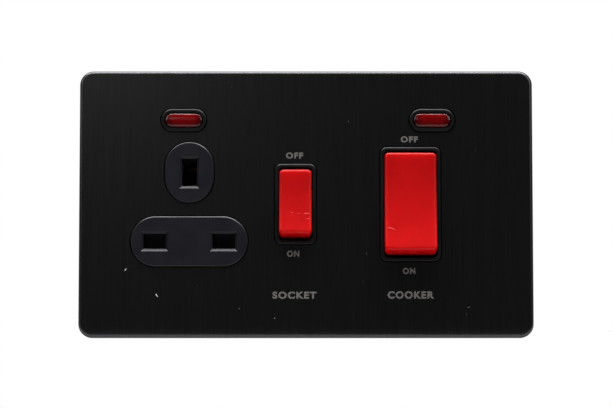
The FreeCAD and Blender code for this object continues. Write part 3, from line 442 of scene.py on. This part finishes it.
def finished_mesh(source):
    """The mesh that a text, or an object with modifiers, comes out as."""
    graph = bpy.context.evaluated_depsgraph_get()
    return bpy.data.meshes.new_from_object(source.evaluated_get(graph))


def legend(name, word, pixel, width, height, ink):
    """A printed word on the plate."""
    curve = bpy.data.curves.new(name, "FONT")
    curve.body = word
    curve.offset = LEGEND_BOLD
    curve.space_character = LEGEND_SPACING
    source = add_object(name + "_curve", curve)
    mesh = finished_mesh(source)
    bpy.data.objects.remove(source)
    low = Vector(min(vertex.co[axis] for vertex in mesh.vertices) for axis in range(3))
    high = Vector(max(vertex.co[axis] for vertex in mesh.vertices) for axis in range(3))
    middle = (low + high) / 2
    stretch = Matrix.Diagonal((width * MM / (high.x - low.x), height * MM / (high.y - low.y), 1, 1))
    upright = Matrix.Rotation(math.radians(90), 4, "X")
    spot = on_plate(pixel) + Vector((0, -LEGEND_INK, 0))
    mesh.transform(Matrix.Translation(spot) @ upright @ stretch @ Matrix.Translation(-middle))
    mesh.name = name
    mesh.shade_flat()
    paint(mesh, ink)
    word_piece = add_object(name, mesh)
    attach(word_piece, "plate")


def skinned(*rows):
    """Closed shapes, each through a row of loops that all have the same number of points."""
    shape = bmesh.new()
    for loops in rows:
        rings = [[shape.verts.new(spot) for spot in loop] for loop in loops]
        for ring, after in zip(rings, rings[1:]):
            for here in range(len(ring)):
                there = (here + 1) % len(ring)
                shape.faces.new((ring[here], ring[there], after[there], after[here]))
        shape.faces.new(rings[0])
        shape.faces.new(rings[-1])
    bmesh.ops.recalc_face_normals(shape, faces=shape.faces)
    return shape


def turned(outline, place):
    """A shape turned about Y, from pairs of radius and distance along Y in mm."""
    turns = [2 * math.pi * step / TURNED_SIDES for step in range(TURNED_SIDES)]
    loops = []
    for radius, along in outline:
        spots = [(radius * math.cos(turn), along, radius * math.sin(turn)) for turn in turns]
        loops.append([place + Vector(spot) * MM for spot in spots])
    return skinned(loops)


def neon_cap(neon, finish):
    """The clear front of a neon lens, with rounded edges and round ends."""
    low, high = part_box(neon + "_lens")
    place = Vector(((low.x + high.x) / 2, low.y, (low.z + high.z) / 2))
    turns = [2 * math.pi * (step + 0.5) / CAP_SIDES for step in range(CAP_SIDES)]
    reach = (LENS_LENGTH - LENS_HEIGHT) / 2
    loops = []
    for inset, rise in CAP_PROFILE:
        radius = LENS_HEIGHT / 2 - inset
        loop = []
        for turn in turns:
            across = math.copysign(reach, math.cos(turn)) + radius * math.cos(turn)
            loop.append(Vector((across, -rise, radius * math.sin(turn))) * MM)
        loops.append(loop)
    piece = add_shape(neon + "_cap", skinned(loops))
    piece.location = place
    piece.data.shade_smooth()
    paint(piece.data, finish)
    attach(piece, "unit")


def screw(name, outline, place, cuts, finish):
    """A turned steel screw with driver slots in its far end, each cut given by its size in mm."""
    piece = add_shape(name, turned(outline, place))
    end = place + Vector((0, outline[-1][1] * MM, 0))
    tools = []
    for size in cuts:
        block = bmesh.new()
        spread = Matrix.Diagonal((*(length * MM for length in size), 1))
        bmesh.ops.create_cube(block, size=1, matrix=Matrix.Translation(end) @ spread)
        tools.append(add_shape(name + "_tool", block))
        carve = piece.modifiers.new("carve", "BOOLEAN")
        carve.operation = "DIFFERENCE"
        carve.solver = "EXACT"
        carve.object = tools[-1]
    mesh = finished_mesh(piece)
    piece.modifiers.clear()
    piece.data = mesh
    for tool in tools:
        bpy.data.objects.remove(tool)
    mesh.shade_smooth()
    mesh.set_sharp_from_angle(angle=SHARP_EDGE)
    paint(mesh, finish)
    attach(piece, "unit")


def clamp_outline():
    """Half the section of a clamp screw: a chamfered shank with a ridge for each turn of its thread."""
    outline = [(CLAMP_ROOT - CLAMP_CHAMFER, 0.0)]
    for turn in range(int(CLAMP_LENGTH / CLAMP_PITCH) - 1):
        outline.append((CLAMP_ROOT, (turn + THREAD_ROOT) * CLAMP_PITCH))
        outline.append((CLAMP_RADIUS, (turn + THREAD_CREST) * CLAMP_PITCH))
    outline.append((CLAMP_RADIUS, CLAMP_LENGTH - CLAMP_CHAMFER))
    outline.append((CLAMP_RADIUS - CLAMP_CHAMFER, CLAMP_LENGTH))
    return outline


def screws(finish):
    """The clamp screw of each terminal, backed off, and the two screws that hold the base."""
    shank = clamp_outline()
    for name in TERMINALS:
        low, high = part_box(name + "_terminal")
        end = high.z - CLAMP_INSET * MM if high.z > -low.z else low.z + CLAMP_INSET * MM
        place = Vector(((low.x + high.x) / 2, high.y + (CLAMP_STAND - CLAMP_LENGTH) * MM, end))
        screw(name + "_clamp_screw", shank, place, [CLAMP_SLOT], finish)
    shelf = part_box("earth_terminal")[0].y
    wide, deep, narrow = CROSS_RECESS
    cross = [CROSS_RECESS, (narrow, deep, wide)]
    for count, (x, z) in enumerate(BASE_SCREWS, start=1):
        screw("base_screw_%d" % count, PAN_HEAD, Vector((x * MM, shelf, z * MM)), cross, finish)


def reach_along(spots, way):
    """How low and how high some spots reach along a direction."""
    reach = [spot.dot(way) for spot in spots]
    return min(reach), max(reach)


def coil_loops(middle, ways, radius, start, open_rise, turns):
    """Loops round the wire of a coil that has closed turns at each end."""
    axis, sideways, upwards = ways
    loops = []
    for step in range(COIL_STEPS * (turns + 2 * CLOSED_TURNS) + 1):
        turn = step / COIL_STEPS
        opened = min(max(turn - CLOSED_TURNS, 0), turns)
        height = start + (turn - opened) * CLOSED_RISE + opened * open_rise / turns
        outward = sideways * math.cos(2 * math.pi * turn) + upwards * math.sin(2 * math.pi * turn)
        loop = []
        for side in range(WIRE_SIDES):
            around = 2 * math.pi * side / WIRE_SIDES
            across = radius + SPRING_WIRE / 2 * math.cos(around)
            along = height + SPRING_WIRE / 2 * math.sin(around)
            loop.append(middle + outward * across + axis * along)
        loops.append(loop)
    return loops


def coil_spring(node, joint, body, turns, finish):
    """A spring of round wire with closed ends, along the axis of the joint that presses it, in place of
    the CAD spring.
    """
    move = next(entry for entry in frame["record"]["behaviour"]["joints"] if entry["name"] == joint)
    axis = Vector(move["axis"]).normalized()
    sideways = Vector((1, 0, 0))
    upwards = axis.cross(sideways)
    spots = [vertex.co for vertex in nodes[node].data.vertices]
    free_end, fixed_end = reach_along(spots, axis)
    left, right = reach_along(spots, sideways)
    middle = sideways * (left + right) / 2 + upwards * sum(reach_along(spots, upwards)) / 2
    radius = (right - left - SPRING_WIRE) / 2
    start = free_end + SPRING_PLAY + SPRING_WIRE / 2
    open_rise = fixed_end - SPRING_PLAY - SPRING_WIRE / 2 - start - 2 * CLOSED_TURNS * CLOSED_RISE
    loops = coil_loops(middle, (axis, sideways, upwards), radius, start, open_rise, turns)
    piece = add_shape(node + "_coil", skinned(loops))
    piece.data.shade_smooth()
    paint(piece.data, finish)
    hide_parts(node)
    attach(piece, body)
    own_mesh(piece)


def marked(surface, pixels, width):
    """Loops along a thin ridge with pointed ends, on the surface that the pixels show."""
    path = []
    for start, stop in zip(pixels, pixels[1:]):
        for step in range(MARK_STEPS):
            share = step / MARK_STEPS
            path.append([first + (last - first) * share for first, last in zip(start, stop)])
    path.append(pixels[-1])
    hits = [surface.ray_cast(view_eye, (on_plate(pixel) - view_eye).normalized())[:2] for pixel in path]
    loops = []
    for step, (spot, outward) in enumerate(hits):
        before = hits[max(step - 1, 0)][0]
        after = hits[min(step + 1, len(hits) - 1)][0]
        swell = math.sqrt(math.sin(math.pi * (step + 0.5) / len(hits)))
        across = outward.cross(after - before).normalized() * width * MM / 2 * swell
        rise = outward * width * MM * MARK_RISE * swell
        loops.append([spot + across, spot + rise, spot - across, spot - rise])
    return loops


def marks(name, node, body, places, finish):
    """Small marks on the face of a CAD piece, as one piece that rides with it."""
    mesh = nodes[node].data
    corners = [vertex.co for vertex in mesh.vertices]
    surface = BVHTree.FromPolygons(corners, [face.vertices for face in mesh.polygons])
    piece = add_shape(name, skinned(*(marked(surface, pixels, width) for pixels, width in places)))
    paint(piece.data, finish)
    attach(piece, body)


def camera():
    """Looks at the plate as the photograph does, from a little below."""
    data = bpy.data.cameras.new("camera")
    data.sensor_fit = "HORIZONTAL"
    data.sensor_width = SENSOR
    data.lens = SENSOR * VIEW_DISTANCE / (IMAGE_WIDTH * pixel_size)
    data.clip_start = 1 * MM
    eye = add_object("camera", data)
    eye.location = view_eye
    eye.rotation_euler = (-view_back).to_track_quat("-Z", "Y").to_euler()
    bpy.context.scene.camera = eye


def soft_lamp(name, place, size, power):
    """A soft lamp, turned to the object."""
    data = bpy.data.lights.new(name, "AREA")
    data.shape = "RECTANGLE"
    data.size, data.size_y = size
    data.energy = power
    lamp = add_object(name, data)
    lamp.location = place
    lamp.rotation_euler = (-Vector(place)).to_track_quat("-Z", "Y").to_euler()


def reckon(tree, operation, *terms):
    """Reckons with the outputs of nodes, and keeps the result between 0 and 1."""
    step = tree.nodes.new("ShaderNodeMath")
    step.operation = operation
    step.use_clamp = True
    for socket, term in zip(step.inputs, terms):
        tree.links.new(term, socket)
    return step.outputs["Value"]


def kinds_of_ray(tree):
    """Outputs that tell the camera's own rays, and rays that were mirrored or let through."""
    ray = tree.nodes.new("ShaderNodeLightPath").outputs
    sent_on = reckon(tree, "ADD", ray["Is Glossy Ray"], ray["Is Transmission Ray"])
    return ray["Is Camera Ray"], sent_on


def world():
    """White behind the object, both to the eye and in its reflections, and a dim room for its light."""
    scene_world = bpy.data.worlds.new("studio")
    scene_world.use_nodes = True
    bpy.context.scene.world = scene_world
    tree = scene_world.node_tree
    to_eye, sent_on = kinds_of_ray(tree)
    way = tree.nodes.new("ShaderNodeSeparateXYZ")
    tree.links.new(tree.nodes.new("ShaderNodeTexCoord").outputs["Generated"], way.inputs["Vector"])
    backdrop = reckon(tree, "MULTIPLY", sent_on, way.outputs["Y"])
    seen = reckon(tree, "MAXIMUM", to_eye, backdrop)
    strength = tree.nodes.new("ShaderNodeMapRange")
    strength.inputs["To Min"].default_value = ROOM_LIGHT
    strength.inputs["To Max"].default_value = 1.0
    tree.links.new(seen, strength.inputs["Value"])
    background = tree.nodes["Background"]
    tree.links.new(strength.outputs["Result"], background.inputs["Strength"])
    background.inputs["Color"].default_value = (1, 1, 1, 1)


def pale_floor():
    """Matt and pale, with a glow that only the eye and reflections see."""
    finish = Finish("pale_floor", Roughness=0.9, Specular_IOR_Level=0.1)
    finish.tint(finish.noise(400, 400, 400), (0.62, 0.62, 0.62), (0.66, 0.66, 0.66))
    glow = finish.nodes.new("ShaderNodeEmission")
    glow.inputs["Strength"].default_value = FLOOR_GLOW
    tree = finish.material.node_tree
    seen = reckon(tree, "MAXIMUM", *kinds_of_ray(tree))
    share = finish.level(seen, 0.0, FLOOR_GLOW_SHARE, start=0.0, stop=1.0)
    both = finish.nodes.new("ShaderNodeMixShader")
    finish.links.new(share, both.inputs["Fac"])
    finish.links.new(finish.shader.outputs["BSDF"], both.inputs[1])
    finish.links.new(glow.outputs["Emission"], both.inputs[2])
    finish.links.new(both.outputs["Shader"], finish.nodes["Material Output"].inputs["Surface"])
    return finish.material


def floor():
    """A pale floor under the plate's lower edge, white to the eye but with the object's shadow."""
    sheet = bmesh.new()
    bmesh.ops.create_grid(sheet, x_segments=1, y_segments=1, size=(FLOOR_BACK + FLOOR_FRONT) / 2)
    ground = add_shape("floor", sheet)
    ground.location = (0, (FLOOR_BACK - FLOOR_FRONT) / 2, plate_low.z - FLOOR_GAP)
    paint(ground.data, pale_floor())


bpy.context.scene.view_settings.view_transform = "Standard"
finish_of = finishes()
dress_nodes(finish_of)
for words in LEGENDS:
    legend(*words, finish_of["legend_ink"])
screws(finish_of["screw_steel"])
cap_finish = lens_front()
for neon in NEONS:
    neon_cap(neon, cap_finish)
for spring in SPRINGS:
    coil_spring(*spring, finish_of["spring_steel"])
marks("plate_dust", "face_plate", "plate", DUST, dust())
scuff_finish = scuffed_red()
marks("socket_scuffs", "socket_rocker", "socket_rocker_body", SOCKET_SCUFFS, scuff_finish)
marks("cooker_scuffs", "cooker_rocker", "cooker_rocker_body", COOKER_SCUFFS, scuff_finish)
camera()
for lamp in LAMPS:
    soft_lamp(*lamp)
world()
floor()
